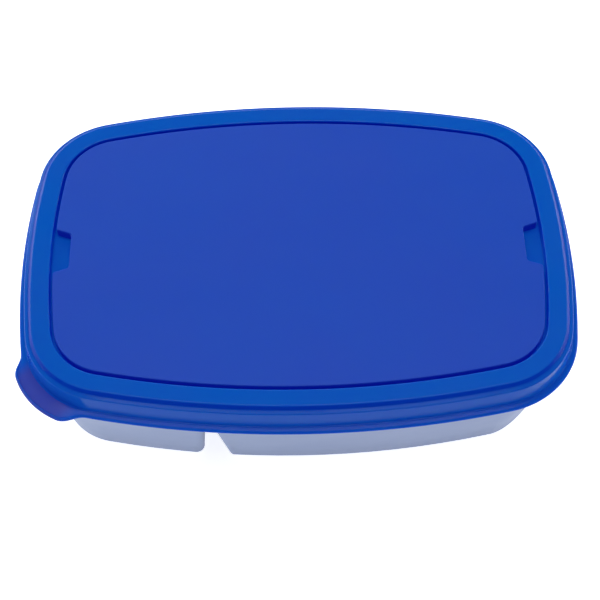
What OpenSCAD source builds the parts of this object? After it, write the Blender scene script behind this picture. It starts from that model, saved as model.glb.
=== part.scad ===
// Three-compartment food container with a snap lid.
// The lid has a shallow cutlery store on top, closed by a flush cover.
// Origin: centre of the underside of the tray. +X runs along the length, -Y is the front.

/* [Outline] */
// Distance from the middle to the corner centres, along the length
corner_x = 80.56; // [72.2:0.76:89.68]
// Distance from the middle to the corner centres, across the width
corner_y = 38.7; // [36:0.15:45]
// Corner radius of the cover
corner_r = 24.8; // [22:0.2:30]

/* [Height] */
// Overall height with everything closed
total_h = 60; // [54:1:80]
// Depth of the cutlery store below the lid top
store_depth = 14.4; // [13.5:0.1:16]

/* [Lid] */
// Wall thickness of the mouldings
wall = 1.3; // [1.1:0.1:1.5]
// Gap round the flush cover
cover_gap = 1.4; // [1:0.1:2]
// Depth of the shelf that carries the cover
shelf_depth = 4.6; // [4.2:0.1:5]
// Width of that shelf, inward from the cover's edge
shelf_w = 11; // [10:0.5:12]

/* [Cover] */
// Depth of a finger notch, inward
notch_depth = 7; // [5:0.5:8]
// Length of a finger notch at its inner end
notch_l = 18.5; // [14.5:1:22.5]
// Length of a finger notch at the cover's edge
notch_mouth_l = 23.5; // [22.5:1:28.5]

/* [Tray] */
// Radius of the rounded lower edge
foot_r = 3; // [2:0.5:6]
// Distance from the middle to the channel across the tray
channel_x = -37.5; // [-45.5:1:-24.5]
// Width of the channels at the top
channel_top_w = 2.4; // [2:0.2:6]
// Width of the channels at the bottom
channel_foot_w = 11.6; // [9:0.2:14]
// How far the top of the channel across the tray lies towards the small compartments
channel_lean = 2.3; // [0:0.1:4]

/* [Cutlery] */
// Length of each piece
cutlery_l = 172; // [150:1:180]
// Distance between neighbouring pieces
cutlery_pitch = 36; // [34:1:38]

/* [Hidden] */
$fn = 96;

lid_blue = [0.07, 0.27, 0.68];
cover_blue = [0.14, 0.28, 0.68];
frosted = [0.56, 0.63, 0.77];
cutlery_white = [0.85, 0.87, 0.91];

clear = 0.3; // running gap between separate pieces
eps = 0.01;

// The outline is eight arcs that touch: two bowed long sides, two bowed short sides, four corners.
// Each side's centre, the corner centre and the point where the arcs touch lie on one line, whose
// slope is that of a right triangle with whole sides, so the arcs meet exactly.
long_line = [76, 357]; // hypotenuse 365
short_line = [112, 15]; // hypotenuse 113
long_scale = corner_x / long_line[0];
short_scale = corner_y / short_line[1];
long_side_r = corner_r + long_scale * 365;
short_side_r = corner_r + short_scale * 113;
long_cy = corner_y - long_scale * long_line[1];
short_cx = corner_x - short_scale * short_line[0];
cover_l = 2 * (short_cx + short_side_r);
cover_w = 2 * (long_cy + long_side_r);
side_depth = 40; // how far a side's section reaches inward, past the line of the corner centres

// Lid section, as distances outward from the cover's edge and heights above the base
rim_out = 9.2;
slope_out = 10.6;
shoulder_out = 12.3;
skirt_top_out = 12.6;
skirt_mid_out = 12.8;
skirt_out = 13.2;
lip_out = 15.95;
slope_z = total_h - 1.5;
shoulder_z = total_h - 2.3;
skirt_top_z = total_h - 2.9;
skirt_mid_z = total_h - 7.4;
skirt_foot_z = total_h - 11.1;
lip_z = total_h - 12.1;
lip_foot_z = total_h - 13.2;
snap_roof_z = total_h - 3.9;
skirt_in = 11.4;
plug_out = 9.5;
plug_foot_z = total_h - 11.4;
shelf_z = total_h - shelf_depth;
store_z = total_h - store_depth;
lid_foot_z = store_z - wall;

// Tray section
tray_top_z = snap_roof_z - clear;
tray_out = skirt_in - clear;
tray_collar_z = total_h - 17.5;
tray_foot_out = 1.1;
web_z = lid_foot_z - clear;
draft = (tray_out - tray_foot_out) / tray_collar_z;
foot_arc_steps = 6;

// Rounded to a hundredth of a millimetre
function fine(v) = round(100 * v) / 100;

// Section of a form, turned about the z axis: out to r at edge's zero, and in to radius inner
module turned(edge, r, inner) {
    rotate_extrude()
        polygon(concat(
            [[inner, edge[0][1]]],
            [for (row = edge) [r + row[0], row[1]]],
            [[inner, edge[len(edge) - 1][1]]]
        ));
}

// Keeps only what lies over the flat shape with these corners
module over(corners) {
    intersection() {
        children();
        translate([0, 0, -10]) linear_extrude(total_h + 20) polygon(corners);
    }
}

// Solid that fills the outline. Its edge follows rows of [distance outward, height], lowest first
module form(edge) {
    foot = edge[0][1];
    top = edge[len(edge) - 1][1];
    corner = [corner_x, corner_y];
    past_long = corner + long_line / 4;
    past_short = corner + short_line / 2;
    for (x = [0, 1], y = [0, 1])
        mirror([x, 0, 0]) mirror([0, y, 0])
            over([corner, past_short, past_short + long_line / 4, past_long])
                translate(corner) turned(edge, corner_r, 0);
    for (y = [0, 1])
        mirror([0, y, 0])
            over([corner, past_long, [-past_long[0], past_long[1]], [-corner_x, corner_y]])
                translate([0, long_cy]) turned(edge, long_side_r, long_side_r - side_depth);
    for (x = [0, 1])
        mirror([x, 0, 0])
            over([corner, past_short, [past_short[0], -past_short[1]], [corner_x, -corner_y]])
                translate([short_cx, 0]) turned(edge, short_side_r, short_side_r - side_depth);
    translate([-corner_x, -corner_y, foot]) cube([2 * corner_x, 2 * corner_y, top - foot]);
}

// A form with an upright edge
module slab(out, foot, top) {
    form([[out, foot], [out, top]]);
}

// ---------------------------------------------------------------- tray

// The tray's outer form or, moved inward by inset, the form of its hollow
module tray_form(inset, foot_z, top_z, round_r) {
    foot_out = tray_foot_out + draft * (foot_z + round_r) - inset;
    form(concat(
        [for (i = [0:foot_arc_steps])
            let (turn = 90 * i / foot_arc_steps)
            [fine(foot_out - round_r * (1 - sin(turn))), fine(foot_z + round_r * (1 - cos(turn)))]],
        [[tray_out - inset, tray_collar_z], [tray_out - inset, top_z]]
    ));
}

// Channels under the tray, between its compartments; grow thickens them by the wall.
// The one between the small compartments ends inside the one across the tray
module channels(grow, roof_z) {
    module wedge(span, lean)
        rotate([90, 0, 0])
            linear_extrude(span, center = true)
                polygon([
                    [-channel_foot_w / 2 - grow, -1], [channel_foot_w / 2 + grow, -1],
                    [channel_top_w / 2 + grow - lean, roof_z], [-channel_top_w / 2 - grow - lean, roof_z],
                ]);
    translate([channel_x, 0, 0]) wedge(cover_w + 60, channel_lean);
    translate([channel_x - channel_lean - cover_l / 2, 0, 0]) rotate(90) wedge(cover_l, 0);
}

module base_tray() {
    color(frosted)
        difference() {
            tray_form(0, 0, tray_top_z, foot_r);
            channels(0, web_z - wall);
            difference() {
                tray_form(wall, wall, tray_top_z + 1, foot_r - wall);
                channels(wall, web_z);
            }
        }
}

// ---------------------------------------------------------------- lid

// Pull tab across one corner: a bent bar with round ends, joined to the lip
tab_r = 7;
tab_h = 2;
tab_centre = [-87.1, -45.9];
tab_bend_r = 29.9;
tab_from = 199.6;
tab_turn = 43.9;
blend = 0.03; // the bar's long edge lies this far inside its round ends

function tab_point(r, share) =
    let (angle = tab_from + share * tab_turn)
    tab_centre + r * [cos(angle), sin(angle)];

module tab_shape(r) {
    steps = 10;
    for (end = [0, 1])
        translate(tab_point(tab_bend_r, end)) circle(r);
    polygon(concat(
        [for (i = [0:steps]) tab_point(tab_bend_r + r - blend, i / steps)],
        [for (i = [steps:-1:0]) tab_point(tab_bend_r - r - 1, i / steps)]
    ));
}

module pull_tab() {
    difference() {
        translate([0, 0, lip_foot_z]) linear_extrude(tab_h) tab_shape(tab_r);
        translate([0, 0, lip_foot_z - 1]) linear_extrude(tab_h + 1 - wall) tab_shape(tab_r - wall);
        slab(skirt_out - 0.6, lip_foot_z - 2, lip_foot_z + 2 * tab_h);
    }
}

// Outer skin of the lid, filled down to the lip's foot
module lid_outside() {
    form([
        [lip_out, lip_foot_z], [lip_out, lip_z], [skirt_out, skirt_foot_z],
        [skirt_mid_out, skirt_mid_z], [skirt_top_out, skirt_top_z], [shoulder_out, shoulder_z],
        [slope_out, slope_z], [rim_out, total_h],
    ]);
}

// The store and the shelf that carries the cover, moved outward by grow
module store_form(grow, top_z) {
    form([
        [grow - shelf_w, store_z - grow], [grow - shelf_w, shelf_z - grow],
        [cover_gap + grow, shelf_z - grow], [cover_gap + grow, top_z],
    ]);
}

// The rim, shoulder, skirt and lip, hollow underneath, with a plug that sits inside the tray's rim
module lid_rim() {
    under_z = lip_foot_z - 1;
    difference() {
        lid_outside();
        difference() {
            slab(skirt_in, under_z, snap_roof_z);
            slab(plug_out, plug_foot_z, snap_roof_z + 1);
        }
        form([
            [plug_out - wall, under_z], [plug_out - wall, snap_roof_z],
            [rim_out - wall, total_h - wall],
        ]);
    }
}

module lid_shell() {
    difference() {
        union() {
            lid_rim();
            store_form(wall, total_h);
        }
        store_form(0, total_h + 1);
    }
}

// Low ribs either side of each handle. The middle piece lies the other way round, so its ribs do too
rib_h = 4.5;
rib_l = 14;
module cutlery_ribs() {
    for (row = [-1:1], x = [-40, 12], side = [-1, 1])
        translate([0, row * cutlery_pitch, store_z - eps])
            rotate(row == 0 ? 180 : 0)
                translate([x - rib_l / 2, side * (handle_w / 2 + clear + wall / 2) - wall / 2, 0])
                    cube([rib_l, wall, rib_h]);
}

module snap_lid() {
    color(lid_blue) {
        lid_shell();
        cutlery_ribs();
        pull_tab();
    }
}

// ---------------------------------------------------------------- cover

// A finger notch: it widens towards the cover's edge and is open past it
module notch_shape(grow) {
    flare = (notch_mouth_l - notch_l) / 2 / notch_depth;
    blunt = 1.2;
    span = 20;
    half = notch_l / 2 + grow;
    side = [
        [0, half - blunt], [blunt, half + flare * blunt], [span, half + flare * span],
    ];
    translate([cover_l / 2 - notch_depth - grow, 0])
        polygon(concat(
            side,
            [for (i = [2:-1:0]) [side[i][0], -side[i][1]]]
        ));
}

module lid_cover() {
    foot_z = shelf_z + clear;
    color(cover_blue)
        difference() {
            slab(0, foot_z, total_h);
            difference() {
                slab(-wall, foot_z - 1, total_h - wall);
                for (turn = [0, 180])
                    rotate(turn)
                        translate([0, 0, foot_z - 2]) linear_extrude(total_h) notch_shape(wall);
            }
            for (turn = [0, 180])
                rotate(turn)
                    translate([0, 0, foot_z - 1]) linear_extrude(total_h) notch_shape(0);
        }
}

// ---------------------------------------------------------------- cutlery

handle_w = 15;
neck_w = 8;
blade_t = 1.7;
cutlery_z = store_z + clear;
half_l = cutlery_l / 2;
head_start = half_l - 62;

// Height of a piece's underside along its length: a long low arch and a dished head
function arch(x) =
    x < head_start
        ? 2.6 * sin(180 * (x + half_l) / (head_start + half_l))
        : 1.8 * pow(sin(90 * (x - head_start) / (half_l - head_start)), 2);

// Gives a flat shape its side view
module bent(z0) {
    steps = 28;
    xs = [for (i = [0:steps]) -half_l + cutlery_l * i / steps];
    intersection() {
        translate([0, 0, z0 - 1]) linear_extrude(12) children();
        rotate([90, 0, 0])
            linear_extrude(60, center = true)
                polygon(concat(
                    [for (x = xs) [x, z0 + arch(x)]],
                    [for (i = [steps:-1:0]) [xs[i], z0 + arch(xs[i]) + blade_t]]
                ));
    }
}

module handle_shape() {
    translate([handle_w / 2 - half_l, 0]) circle(handle_w / 2);
    polygon([
        [handle_w / 2 - half_l, -handle_w / 2], [-10, -handle_w / 2 + 1], [head_start, -neck_w / 2],
        [head_start + 14, -neck_w / 2], [head_start + 14, neck_w / 2],
        [head_start, neck_w / 2], [-10, handle_w / 2 - 1], [handle_w / 2 - half_l, handle_w / 2],
    ]);
}

module fork() {
    tines = 4;
    tine_w = 3.8;
    tine_gap = 2.6;
    tine_l = 34;
    head_w = tines * tine_w + (tines - 1) * tine_gap;
    root_x = half_l - tine_l;
    color(cutlery_white)
        translate([0, cutlery_pitch, 0])
            bent(cutlery_z) {
                handle_shape();
                translate([root_x - 8, 0]) circle(head_w / 2);
                translate([root_x - 8, -head_w / 2]) square([9, head_w]);
                for (i = [0:tines - 1])
                    translate([root_x, -head_w / 2 + i * (tine_w + tine_gap)]) {
                        square([tine_l - tine_w / 2, tine_w]);
                        translate([tine_l - tine_w / 2, tine_w / 2]) circle(tine_w / 2);
                    }
            }
}

module knife() {
    blade_w = 17;
    color(cutlery_white)
        rotate(180)
            bent(cutlery_z) {
                handle_shape();
                translate([half_l - blade_w / 2, 0]) circle(blade_w / 2);
                polygon([
                    [head_start + 2, -neck_w / 2], [head_start + 16, -blade_w / 2],
                    [half_l - blade_w / 2, -blade_w / 2], [half_l - blade_w / 2, blade_w / 2],
                    [head_start + 16, neck_w / 2], [head_start + 2, neck_w / 2],
                ]);
            }
}

module spoon() {
    bowl_r = 16;
    color(cutlery_white)
        translate([0, -cutlery_pitch, 0])
            bent(cutlery_z) {
                handle_shape();
                translate([half_l - bowl_r, 0]) circle(bowl_r);
                polygon([
                    [head_start + 4, -neck_w / 2], [half_l - bowl_r - 12, -bowl_r + 5],
                    [half_l - bowl_r, -bowl_r], [half_l - bowl_r, bowl_r],
                    [half_l - bowl_r - 12, bowl_r - 5], [head_start + 4, neck_w / 2],
                ]);
            }
}

base_tray();
snap_lid();
lid_cover();
fork();
knife();
spoon();
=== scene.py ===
"""Snap lid food container: frosted tray, blue snap lid with a pull tab, flush cover, cutlery in the lid."""

import math

import bmesh
import bpy
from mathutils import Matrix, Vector

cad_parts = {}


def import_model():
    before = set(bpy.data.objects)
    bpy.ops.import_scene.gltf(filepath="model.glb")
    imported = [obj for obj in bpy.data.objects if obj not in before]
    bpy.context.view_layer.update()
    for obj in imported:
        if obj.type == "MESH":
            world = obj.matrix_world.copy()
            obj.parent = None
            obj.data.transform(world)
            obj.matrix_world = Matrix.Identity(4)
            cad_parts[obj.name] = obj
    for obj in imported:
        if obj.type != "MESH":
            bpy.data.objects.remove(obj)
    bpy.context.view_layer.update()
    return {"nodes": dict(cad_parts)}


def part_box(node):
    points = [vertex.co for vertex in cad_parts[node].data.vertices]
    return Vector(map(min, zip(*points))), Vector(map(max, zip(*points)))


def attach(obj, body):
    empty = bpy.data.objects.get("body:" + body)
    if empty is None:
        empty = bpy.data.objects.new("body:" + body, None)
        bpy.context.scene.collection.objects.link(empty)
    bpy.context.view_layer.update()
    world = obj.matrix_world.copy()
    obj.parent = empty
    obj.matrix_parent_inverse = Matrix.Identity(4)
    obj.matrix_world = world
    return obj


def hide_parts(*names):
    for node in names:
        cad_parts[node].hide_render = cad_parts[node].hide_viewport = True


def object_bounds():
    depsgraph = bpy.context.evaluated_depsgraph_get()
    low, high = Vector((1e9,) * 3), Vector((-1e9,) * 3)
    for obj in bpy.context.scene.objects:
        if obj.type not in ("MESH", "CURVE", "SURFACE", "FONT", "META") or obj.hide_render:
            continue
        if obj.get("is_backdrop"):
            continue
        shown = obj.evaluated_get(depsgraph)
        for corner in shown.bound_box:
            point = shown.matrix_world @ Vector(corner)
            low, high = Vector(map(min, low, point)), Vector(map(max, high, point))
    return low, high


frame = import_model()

MM = 0.001

# ------------------------------------------------------------------ sizes, in millimetres
CORNER_X = 80.56        # corner centres of the outline
CORNER_Y = 38.7
CORNER_R = 24.8
LONG_LINE = (76, 357, 365)      # right triangles that set the slopes where the arcs meet
SHORT_LINE = (112, 15, 113)
TOP_Z = round(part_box("lid_cover")[1][2] / MM, 2)
WALL = 1.3
STORE_DEPTH = 14.4
SHELF_DEPTH = 4.6
SHELF_W = 11
COVER_GAP = 1.4
RUN_GAP = 0.3           # running gap between separate pieces

# ------------------------------------------------------------------ outline


def unit(angle):
    return Vector((math.cos(angle), math.sin(angle)))


def outline_arcs():
    """The outline's eight arcs, anticlockwise from the right: centre, radius, start and end in radians."""
    long_scale = CORNER_X / LONG_LINE[0]
    short_scale = CORNER_Y / SHORT_LINE[1]
    long_r = CORNER_R + long_scale * LONG_LINE[2]
    short_r = CORNER_R + short_scale * SHORT_LINE[2]
    long_c = CORNER_Y - long_scale * LONG_LINE[1]
    short_c = CORNER_X - short_scale * SHORT_LINE[0]
    a = math.atan2(SHORT_LINE[1], SHORT_LINE[0])
    b = math.atan2(LONG_LINE[1], LONG_LINE[0])
    half = [
        ((short_c, 0), short_r, -a, a),
        ((CORNER_X, CORNER_Y), CORNER_R, a, b),
        ((0, long_c), long_r, b, math.pi - b),
        ((-CORNER_X, CORNER_Y), CORNER_R, math.pi - b, math.pi - a),
    ]
    other = [((-c[0], -c[1]), r, s + math.pi, e + math.pi) for c, r, s, e in half]
    return half + other


def outline(steps):
    """Points of the cover's edge with their outward normals; steps gives the pieces in each arc."""
    points = []
    for (centre, r, start, end), count in zip(outline_arcs(), steps):
        for i in range(count):
            t = start + (end - start) * i / count
            n = unit(t)
            points.append((Vector(centre) + r * n, n))
    return points


# pieces in each arc of the lid's edge; the front left corner, with the pull tab, has the most
OUTLINE = outline([26, 36, 48, 36, 26, 110, 48, 36])


def rounded(points, steps=5):
    """A polyline of (x, y, radius) corners with each corner turned into an arc of that radius."""
    most = 0.49     # share of an edge that an arc may use up
    out = []
    last = len(points) - 1
    for i, (x, y, r) in enumerate(points):
        if r == 0 or i in (0, last):
            out.append((x, y))
            continue
        p = Vector((x, y))
        a = Vector(points[i - 1][:2]) - p
        b = Vector(points[i + 1][:2]) - p
        half = a.angle(b) / 2
        reach = min(r / math.tan(half), most * a.length, most * b.length)
        r = reach * math.tan(half)
        a.normalize()
        b.normalize()
        centre = p + (a + b).normalized() * (r / math.sin(half))
        start = p + a * reach - centre
        turn = start.angle_signed(p + b * reach - centre)
        for k in range(steps + 1):
            t = -turn * k / steps
            c, s = math.cos(t), math.sin(t)
            out.append((centre.x + c * start.x - s * start.y, centre.y + s * start.x + c * start.y))
    return out


# ------------------------------------------------------------------ mesh helpers


def new_object(name, bm, body, material, smooth=35):
    """Turns a bmesh in millimetres into a piece that rides on a body."""
    bmesh.ops.remove_doubles(bm, verts=bm.verts, dist=1e-4)
    bmesh.ops.recalc_face_normals(bm, faces=bm.faces)
    bmesh.ops.scale(bm, vec=(MM, MM, MM), verts=bm.verts)
    mesh = bpy.data.meshes.new(name)
    bm.to_mesh(mesh)
    bm.free()
    for poly in mesh.polygons:
        poly.use_smooth = True
    mesh.set_sharp_from_angle(angle=math.radians(smooth))
    obj = bpy.data.objects.new(name, mesh)
    bpy.context.scene.collection.objects.link(obj)
    obj.data.materials.append(material)
    weight = obj.modifiers.new("even shading", "WEIGHTED_NORMAL")
    weight.keep_sharp = True
    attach(obj, body)
    return obj


def bridge(bm, a, b):
    """Quads between two rings of the same length."""
    n = len(a)
    for i in range(n):
        j = (i + 1) % n
        bm.faces.new((a[i], a[j], b[j], b[i]))


def loft(bm, rings, cap_start=False, cap_end=False):
    """Joins rings in order; returns the first and the last ring's vertices."""
    made = [[bm.verts.new(p) for p in ring] for ring in rings]
    for a, b in zip(made, made[1:]):
        bridge(bm, a, b)
    if cap_start:
        bm.faces.new(made[0])
    if cap_end:
        bm.faces.new(made[-1])
    return made[0], made[-1]


def fill_between(bm, loops):
    """A flat face between an outer loop and the loops inside it."""
    edges = []
    for loop in loops:
        for i, v in enumerate(loop):
            w = loop[(i + 1) % len(loop)]
            edges.append(bm.edges.get((v, w)) or bm.edges.new((v, w)))
    bmesh.ops.triangle_fill(bm, use_beauty=True, edges=edges)


def ring_at(out, z):
    """The outline moved outward by out, at height z."""
    return [(p.x + out * n.x, p.y + out * n.y, z) for p, n in OUTLINE]


# ------------------------------------------------------------------ materials


def node(tree, kind, **values):
    """A new node; a value goes to the input of that name or, if there is none, to the property."""
    made = tree.nodes.new(kind)
    for key, value in values.items():
        if key in made.inputs:
            made.inputs[key].default_value = value
        else:
            setattr(made, key, value)
    return made


def ramp(tree, value, start, end, low=0.0, high=1.0, smooth=False):
    """Maps a socket's start..end to low..high, clamped."""
    made = node(tree, "ShaderNodeMapRange", interpolation_type="SMOOTHSTEP" if smooth else "LINEAR")
    made.inputs["From Min"].default_value = start
    made.inputs["From Max"].default_value = end
    made.inputs["To Min"].default_value = low
    made.inputs["To Max"].default_value = high
    tree.links.new(value, made.inputs["Value"])
    return made.outputs["Result"]


def math_node(tree, operation, a, b):
    """The result of a sum on socket a and on b, which is a socket or a number."""
    made = node(tree, "ShaderNodeMath", operation=operation)
    tree.links.new(a, made.inputs[0])
    if isinstance(b, float):
        made.inputs[1].default_value = b
    else:
        tree.links.new(b, made.inputs[1])
    return made.outputs["Value"]


def object_place(tree):
    return node(tree, "ShaderNodeTexCoord").outputs["Object"]


def plastic(name, colour, other, rough, specular, grain_mm, grain, depth=0.0, glow=0.0):
    """Moulded plastic: faint clouds of a second colour, a fine moulded grain and rubbed, smoother patches;
    glow gives it an even painted blue glow.
    """
    mat = bpy.data.materials.new(name)
    mat.use_nodes = True
    tree = mat.node_tree
    links = tree.links
    shader = tree.nodes["Principled BSDF"]
    place = object_place(tree)
    cloud = node(tree, "ShaderNodeTexNoise", Scale=14.0, Detail=3.0, Roughness=0.55)
    mix = node(tree, "ShaderNodeMix", data_type="RGBA")
    mix.inputs["A"].default_value = (*colour, 1)
    mix.inputs["B"].default_value = (*other, 1)
    links.new(place, cloud.inputs["Vector"])
    links.new(ramp(tree, cloud.outputs["Fac"], 0.35, 0.65, high=0.45), mix.inputs["Factor"])
    links.new(mix.outputs["Result"], shader.inputs["Base Color"])
    # rubbed patches: long soft streaks that are a little smoother
    stretch = node(tree, "ShaderNodeMapping")
    stretch.inputs["Scale"].default_value = (18.0, 70.0, 40.0)
    stretch.inputs["Rotation"].default_value = (0.0, 0.0, 0.35)
    streak = node(tree, "ShaderNodeTexNoise", Scale=1.0, Detail=5.0, Roughness=0.6)
    links.new(place, stretch.inputs["Vector"])
    links.new(stretch.outputs["Vector"], streak.inputs["Vector"])
    rub = ramp(tree, streak.outputs["Fac"], 0.3, 0.7, rough - 0.07, rough + 0.06)
    links.new(rub, shader.inputs["Roughness"])
    # moulded grain
    grains = node(tree, "ShaderNodeTexNoise", Scale=1.0 / (grain_mm * MM), Detail=2.0, Roughness=0.5)
    bump = node(tree, "ShaderNodeBump", Strength=grain, Distance=0.00004)
    links.new(place, grains.inputs["Vector"])
    links.new(grains.outputs["Fac"], bump.inputs["Height"])
    links.new(bump.outputs["Normal"], shader.inputs["Normal"])
    shader.inputs["Specular IOR Level"].default_value = specular
    shader.inputs["IOR"].default_value = 1.49
    shader.inputs["Subsurface Weight"].default_value = depth
    shader.inputs["Subsurface Radius"].default_value = (0.1, 0.3, 1.0)
    shader.inputs["Subsurface Scale"].default_value = 0.004
    # painted glow: an even blue emission that stands in for light passing through the plastic and lifts the
    # shade everywhere, also in grooves
    shader.inputs["Emission Color"].default_value = (0, 0, 1, 1)
    shader.inputs["Emission Strength"].default_value = glow
    return mat


def mix_in(mat, colour, mask):
    """Mixes a colour over the material's own where the mask socket is 1."""
    tree = mat.node_tree
    base = tree.nodes["Principled BSDF"].inputs["Base Color"]
    mix = node(tree, "ShaderNodeMix", data_type="RGBA")
    mix.inputs["B"].default_value = (*colour, 1)
    tree.links.new(mask, mix.inputs["Factor"])
    tree.links.new(base.links[0].from_socket, mix.inputs["A"])
    tree.links.new(mix.outputs["Result"], base)


def height(tree):
    parts = node(tree, "ShaderNodeSeparateXYZ")
    tree.links.new(object_place(tree), parts.inputs["Vector"])
    return parts.outputs["Z"]


def patch_mask(tree, centre, near, far, below):
    """1 round a point, 0 beyond far, on what lies lower than a height; sizes in millimetres."""
    apart = node(tree, "ShaderNodeVectorMath", operation="DISTANCE")
    apart.inputs[1].default_value = [c * MM for c in centre]
    tree.links.new(object_place(tree), apart.inputs[0])
    close = ramp(tree, apart.outputs["Value"], near * MM, far * MM, 1.0, 0.0, smooth=True)
    return math_node(tree, "MULTIPLY", close, math_node(tree, "LESS_THAN", height(tree), below * MM))


def band_mask(tree, foot, low, high, top):
    """1 between the heights low and high, 0 under foot and over top; sizes in millimetres."""
    z = height(tree)
    rise = ramp(tree, z, foot * MM, low * MM, smooth=True)
    fall = ramp(tree, z, top * MM, high * MM, smooth=True)
    return math_node(tree, "MULTIPLY", rise, fall)


# Both blues carry a painted glow of 0.16, so their base colours are set lower to match.
LID_BLUE = plastic(
    "lid_blue", (0.001, 0.078, 0.275), (0.008, 0.068, 0.260), 0.15, 0.06, 0.9, 0.10, depth=0.4, glow=0.16,
)
COVER_BLUE = plastic(
    "cover_blue", (0.010, 0.056, 0.252), (0.015, 0.050, 0.237), 0.45, 0.08, 0.5, 0.4, depth=0.4, glow=0.16,
)
# The tray's base colour is its frosted plastic's own, darkened and blued as painted shade from the blue lid
# over it.
FROSTED = plastic("frosted", (0.225, 0.285, 0.455), (0.210, 0.265, 0.435), 0.45, 0.2, 0.7, 0.3)
CUTLERY = plastic("cutlery_plastic", (0.74, 0.77, 0.83), (0.70, 0.74, 0.81), 0.32, 0.5, 1.2, 0.15)

# ------------------------------------------------------------------ lid

TAB_R = 7
TAB_CENTRE = Vector((-87.1, -45.9))
TAB_BEND_R = 29.9
TAB_FROM = math.radians(199.6)
TAB_TO = math.radians(243.5)
TAB_MIDDLE = TAB_CENTRE + TAB_BEND_R * unit((TAB_FROM + TAB_TO) / 2)
TAB_SOFT = 5            # how gently the tab flows into the lip
TAB_RISE = 4            # how far past the lip the tab's rim reaches its full height
LIP_OUT = 15.95


def tab_distance(p):
    """Distance from p to the outline of the bent bar with round ends, negative inside it."""
    v = p - TAB_CENTRE
    angle = math.atan2(v.y, v.x) % (2 * math.pi)
    if TAB_FROM < angle < TAB_TO:
        return abs(v.length - TAB_BEND_R) - TAB_R
    ends = [unit(t) * TAB_BEND_R for t in (TAB_FROM, TAB_TO)]
    return min((v - end).length for end in ends) - TAB_R


def soft_min(a, b, k):
    """The smaller of a and b, with a smooth passage where they differ by less than k."""
    h = max(k - abs(a - b), 0) / k
    return min(a, b) - h * h * k / 4


def lip_reach(p, n):
    """How far out the lip's edge lies from the cover's edge at p, tab included."""
    low, high = LIP_OUT - 1, LIP_OUT + 25
    for _ in range(40):
        mid = (low + high) / 2
        if soft_min(mid - LIP_OUT, tab_distance(p + n * mid), TAB_SOFT) < 0:
            low = mid
        else:
            high = mid
    return low


REACH = [lip_reach(p, n) for p, n in OUTLINE]

# the lip's edge: distance in from it, height below the top, extra height on the tab's rim
LIP_ROWS = [
    (1.9, -11.42, -0.35), (1.55, -11.46, -0.3), (1.2, -11.52, 0.0), (0.9, -11.62, 0.38),
    (0.65, -11.72, 0.45), (0.38, -11.88, 0.38), (0.18, -12.05, 0.25), (0.04, -12.3, 0.1),
    (0.0, -12.55, 0.0), (0.06, -12.8, 0.0), (0.22, -13.0, 0.0), (0.5, -13.12, 0.0),
    (0.9, -13.1, 0.0), (1.4, -12.95, 0.0),
]

RIB_L = 14
RIB_H = 4.5
RIB_X = (-40, 12)       # middles of the two pairs of ribs along a handle
CUTLERY_PITCH = 36
HANDLE_W = 15


def cutlery_ribs(bm):
    """Low ribs either side of each handle, rounded along the top; the middle row is turned about."""
    floor_z = TOP_Z - STORE_DEPTH
    off = HANDLE_W / 2 + RUN_GAP + WALL / 2
    profile = [(0, -0.3), (0, RIB_H - 0.5), (0.15, RIB_H - 0.15), (0.5, RIB_H)]
    for row in (-1, 0, 1):
        turn = -1 if row == 0 else 1
        for x in RIB_X:
            for side in (-1, 1):
                centre = Vector((turn * x, row * CUTLERY_PITCH + side * off))
                rings = []
                for inset, z in profile:
                    a, b = RIB_L / 2 - inset, WALL / 2 - inset
                    corners = ((a, -b), (a, b), (-a, b), (-a, -b))
                    rings.append([(centre.x + dx, centre.y + dy, floor_z + z) for dx, dy in corners])
                loft(bm, rings, cap_start=True, cap_end=True)


def snap_lid():
    """The lid's moulding: its section as (distance outward, height, corner radius), from the store out."""
    upper = rounded([
        (-SHELF_W - 4, -STORE_DEPTH, 0), (-SHELF_W, -STORE_DEPTH, 2.2), (-SHELF_W, -SHELF_DEPTH, 0.8),
        (COVER_GAP, -SHELF_DEPTH, 0.4), (COVER_GAP, 0, 0.8), (9.4, 0, 1.0), (10.6, -1.6, 1.2),
        (12.55, -2.3, 0.6), (12.8, -7.4, 2.0), (13.15, -10.85, 0.2), (13.5, -10.95, 0.15),
        (13.6, -11.25, 0.1), (13.8, -11.3, 0),
    ])
    lower = rounded([
        (12.9, -12.6, 0), (11.5, -12.5, 0.5), (11.4, -3.9, 0.5), (9.5, -3.9, 0.4),
        (9.5, -11.4, 0.5), (8.2, -11.4, 0.5), (8.2, -3.9, 1.0), (7.9, -WALL, 0.8), (3.1, -WALL, 0.8),
        (3.1, -SHELF_DEPTH - WALL, 0.6), (WALL - SHELF_W, -SHELF_DEPTH - WALL, 1.0),
        (WALL - SHELF_W, -STORE_DEPTH - WALL, 1.2), (-SHELF_W - 4, -STORE_DEPTH - WALL, 0),
    ])
    rings = [ring_at(out, TOP_Z + z) for out, z in upper]
    for inward, z, lift in LIP_ROWS:
        ring = []
        for (p, n), reach in zip(OUTLINE, REACH):
            out = reach - inward
            share = max(0, min(1, (reach - LIP_OUT) / TAB_RISE))
            share = share * share * (3 - 2 * share)
            ring.append((p.x + out * n.x, p.y + out * n.y, TOP_Z + z + lift * share))
        rings.append(ring)
    rings += [ring_at(out, TOP_Z + z) for out, z in lower]
    bm = bmesh.new()
    loft(bm, rings, cap_start=True, cap_end=True)
    cutlery_ribs(bm)
    return new_object("lid_moulding", bm, "lid", LID_BLUE)


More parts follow.
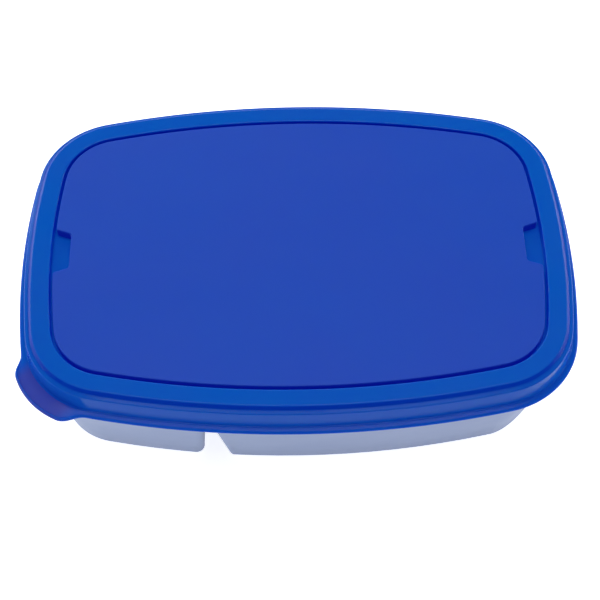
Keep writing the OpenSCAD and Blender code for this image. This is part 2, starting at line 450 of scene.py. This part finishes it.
def paint_lid_sheen_and_shade():
    """Painted light on the lid: a painted reflection makes the pull tab more violet on top, and painted shade
    makes the slope round the rim a deeper blue.
    """
    tree = LID_BLUE.node_tree
    middle = (TAB_MIDDLE.x, TAB_MIDDLE.y, TOP_Z - 11.5)
    # painted reflection: the tab's upward face gets a violet tint where light reflects off it
    painted_tab_sheen = patch_mask(tree, middle, near=11, far=18.5, below=TOP_Z - 11.3)
    mix_in(LID_BLUE, (0.035, 0.055, 0.165), painted_tab_sheen)
    # painted shade: a darker, deeper blue band on the slope round the rim, which faces away from the light
    slope = band_mask(tree, foot=TOP_Z - 2.0, low=TOP_Z - 1.4, high=TOP_Z - 0.4, top=TOP_Z - 0.1)
    mix_in(LID_BLUE, (0.0, 0.035, 0.22), slope)


paint_lid_sheen_and_shade()
lid = snap_lid()
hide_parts("snap_lid")

# ------------------------------------------------------------------ cover

NOTCH_DEPTH = 7
NOTCH_L = 18.5          # a notch at its inner end and at the cover's edge
NOTCH_MOUTH_L = 23.5


def cover_path():
    """The cover's edge with its two finger notches, as points anticlockwise."""
    edge = [p for p, n in OUTLINE]
    side_x = max(p.x for p in edge)
    mouth_x = side_x - 0.2
    inner_x = side_x - NOTCH_DEPTH
    half = NOTCH_L / 2
    mouth = NOTCH_MOUTH_L / 2
    # the point of the edge where the notch's own points take over
    start = min((p for p in edge if p.x > 0 and p.y > 0), key=lambda p: abs(p.y - mouth - 3))
    notch = rounded([
        (start.x, -start.y, 0), (mouth_x, -mouth, 1.2), (inner_x, -half, 1.6),
        (inner_x, half, 1.6), (mouth_x, mouth, 1.2), (start.x, start.y, 0),
    ], steps=8)
    right = [Vector(p) for p in notch]
    left = [-p for p in right]
    upper = sorted((p for p in edge if p.y > start.y + 0.01), key=lambda p: math.atan2(p.y, p.x))
    lower = [-p for p in upper]
    return right + upper + left + lower


def path_normals(points):
    """Outward normals of an anticlockwise closed path."""
    normals = []
    count = len(points)
    for i in range(count):
        d = (points[(i + 1) % count] - points[i]).normalized() + (points[i] - points[i - 1]).normalized()
        normals.append(Vector((d.y, -d.x)).normalized())
    return normals


def lid_cover():
    path = cover_path()
    normals = path_normals(path)
    foot = RUN_GAP - SHELF_DEPTH
    rows = rounded([
        (-1.0, 0, 0), (0, 0, 0.75), (0, foot, 0.35), (-WALL, foot, 0.35), (-WALL, -WALL, 0),
    ])
    rings = []
    for out, z in rows:
        rings.append([(p.x + out * n.x, p.y + out * n.y, TOP_Z + z) for p, n in zip(path, normals)])
    bm = bmesh.new()
    loft(bm, rings, cap_start=True, cap_end=True)
    return new_object("cover_panel", bm, "cover", COVER_BLUE)


cover = lid_cover()
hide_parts("lid_cover")

# ------------------------------------------------------------------ tray

TRAY_TOP = TOP_Z - 4.2
TRAY_OUT = 11.1             # how far the collar lies outside the cover's edge
WEB_Z = TOP_Z - STORE_DEPTH - WALL - RUN_GAP    # top of the flat web between the compartments
POCKET_OUT_TOP = 10.4       # the same for the pockets' outer walls, at the web and at the foot
POCKET_OUT_FOOT = 1.1
FOOT_R = 3
POCKET_LIP_R = 0.35         # rounding where a pocket wall meets the web
CHANNEL_LEFT = (-43.3, -41.0)       # walls of the channel across the tray, at its foot and at its top
CHANNEL_RIGHT = (-31.4, -38.6)
CHANNEL_HALF = (6.6, 1.05)          # half widths of the channel between the two left pockets
POCKET_R = {-1: 3.5, 1: 2.0}        # upright corners of the left and the right pockets at a channel
POCKET_TRIM = {-1: 0.0, 1: 1.7}     # how much rounder their outer corners are at the foot
TURNS = 240                 # points round a pocket
DENSE = outline([60, 60, 200, 60, 60, 60, 200, 60])


def clipped(points, axis, limit, keep_above):
    """The part of a convex polygon on one side of an upright line."""
    sign = 1 if keep_above else -1
    out = []
    for i, p in enumerate(points):
        q = points[(i + 1) % len(points)]
        a, b = sign * (p[axis] - limit), sign * (q[axis] - limit)
        if a >= 0:
            out.append(p)
        if a * b < 0:
            out.append(p + (q - p) * (a / (a - b)))
    return out


def at_height(pair, z):
    """A value that runs from the first of a pair at the foot to the second at the web."""
    return pair[0] + (pair[1] - pair[0]) * z / WEB_Z


def pocket_ring(side, out, z, inset, corner):
    """Outline of a pocket at height z: side is (x sign, y sign), with y sign 0 for the large pocket."""
    trim = POCKET_TRIM[side[0]] * (1 - z / WEB_Z)
    shape = [p + n * (out - inset - corner - trim * (2 * n.x * n.y) ** 2) for p, n in DENSE]
    wall_x = at_height(CHANNEL_RIGHT if side[0] > 0 else CHANNEL_LEFT, z)
    shape = clipped(shape, 0, wall_x + side[0] * (inset + corner), side[0] > 0)
    if side[1]:
        wall_y = side[1] * (at_height(CHANNEL_HALF, z) + inset + corner)
        shape = clipped(shape, 1, wall_y, side[1] > 0)
    ring = []
    for i in range(TURNS):
        n = unit(2 * math.pi * i / TURNS)
        p = max(shape, key=n.dot) + n * corner
        ring.append((p.x, p.y, z))
    return ring


def pocket_rows(inset, foot_z, top_z):
    """Heights and extra insets up a pocket wall: rounded foot, straight wall, flared top."""
    foot_steps, wall_steps, lip_steps = 8, 6, 5
    foot_r = FOOT_R - inset
    rows = []
    for i in range(foot_steps + 1):
        t = math.pi / 2 * i / foot_steps
        rows.append((foot_z + foot_r * (1 - math.cos(t)), foot_r * (1 - math.sin(t))))
    start = rows[-1][0]
    for i in range(1, wall_steps + 1):
        rows.append((start + (top_z - POCKET_LIP_R - start) * i / wall_steps, 0))
    for i in range(1, lip_steps + 1):
        t = math.pi / 2 * i / lip_steps
        rows.append((top_z - POCKET_LIP_R * (1 - math.sin(t)), -POCKET_LIP_R * (1 - math.cos(t))))
    return rows


def pocket_wall(bm, side, inset, foot_z, top_z):
    """One skin of a pocket, inset from its outer one; returns the vertices along its top edge."""
    corner_r = POCKET_R[side[0]]
    rings = []
    for z, extra in pocket_rows(inset, foot_z, top_z):
        out = at_height((POCKET_OUT_FOOT, POCKET_OUT_TOP), z)
        corner = corner_r - inset + min(0, extra)
        rings.append(pocket_ring(side, out, z, inset + extra, corner))
    return loft(bm, rings, cap_start=True)[1]


def base_tray():
    bm = bmesh.new()
    sides = ((1, 0), (-1, 1), (-1, -1))
    collar = rounded([
        (TRAY_OUT, WEB_Z - WALL, 0), (TRAY_OUT, TRAY_TOP, 0.5), (TRAY_OUT - WALL, TRAY_TOP, 0.5),
        (TRAY_OUT - WALL, WEB_Z, 0),
    ])
    foot, inner = loft(bm, [ring_at(out, z) for out, z in collar])
    outside = [pocket_wall(bm, side, 0, 0, WEB_Z - WALL) for side in sides]
    fill_between(bm, [foot] + outside)
    inside = [pocket_wall(bm, side, WALL, WALL, WEB_Z) for side in sides]
    fill_between(bm, [inner] + inside)
    return new_object("tray_moulding", bm, "tray", FROSTED)


tray = base_tray()
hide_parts("base_tray")

# ------------------------------------------------------------------ cutlery

for name in ("fork", "knife", "spoon"):
    piece = frame["nodes"][name]
    for slot in piece.material_slots:
        slot.material = CUTLERY
    soften = piece.modifiers.new("soft edges", "BEVEL")
    soften.width = 0.0004
    soften.segments = 3

# ------------------------------------------------------------------ floor, light and camera


def floor():
    bm = bmesh.new()
    bmesh.ops.create_grid(bm, x_segments=8, y_segments=8, size=15.0)
    mesh = bpy.data.meshes.new("floor")
    bm.to_mesh(mesh)
    bm.free()
    obj = bpy.data.objects.new("floor", mesh)
    bpy.context.scene.collection.objects.link(obj)
    mat = bpy.data.materials.new("white_floor")
    mat.use_nodes = True
    shader = mat.node_tree.nodes["Principled BSDF"]
    shader.inputs["Base Color"].default_value = (0.93, 0.93, 0.93, 1)
    shader.inputs["Roughness"].default_value = 0.9
    shader.inputs["Specular IOR Level"].default_value = 0.1
    shader.inputs["Emission Color"].default_value = (1, 1, 1, 1)
    shader.inputs["Emission Strength"].default_value = 0.8
    obj.data.materials.append(mat)
    obj.location.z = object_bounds()[0][2] - 0.0001
    obj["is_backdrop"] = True


def area_light(name, place, size, watts):
    """A rectangular light aimed at the object's middle."""
    target = (0, 0, 0.05)
    data = bpy.data.lights.new(name, "AREA")
    data.shape = "RECTANGLE"
    data.size, data.size_y = size
    data.energy = watts
    obj = bpy.data.objects.new(name, data)
    bpy.context.scene.collection.objects.link(obj)
    obj.location = place
    obj.rotation_euler = (Vector(target) - Vector(place)).to_track_quat("-Z", "Y").to_euler()
    return obj


def world(strength):
    made = bpy.data.worlds.new("soft white")
    bpy.context.scene.world = made
    made.use_nodes = True
    background = made.node_tree.nodes["Background"]
    background.inputs["Color"].default_value = (1, 1, 1, 1)
    background.inputs["Strength"].default_value = strength


def camera(target, azimuth, elevation, distance, lens):
    """Looks at the target from an azimuth off the front and an elevation, both in degrees."""
    data = bpy.data.cameras.new("camera")
    data.lens = lens
    data.sensor_width = 36
    obj = bpy.data.objects.new("camera", data)
    bpy.context.scene.collection.objects.link(obj)
    a, e = math.radians(azimuth), math.radians(elevation)
    back = Vector((math.sin(a) * math.cos(e), -math.cos(a) * math.cos(e), math.sin(e)))
    obj.location = Vector(target) + distance * back
    obj.rotation_euler = (-back).to_track_quat("-Z", "Y").to_euler()
    bpy.context.scene.camera = obj


floor()
world(0.2)
area_light("overhead", (0, 0.08, 1.5), (1.0, 0.9), 16.2)
area_light("back", (-0.5, 1.4, 0.8), (1.8, 0.5), 12)
area_light("left", (-1.3, 0.3, 0.32), (1.5, 0.12), 7)
area_light("right", (1.3, 0.45, 0.32), (1.3, 0.12), 9)
camera(target=(0.0004, -0.0286, TOP_Z * MM), azimuth=-1.157, elevation=55.67, distance=0.6492, lens=90)
bpy.context.scene.view_settings.view_transform = "Standard"
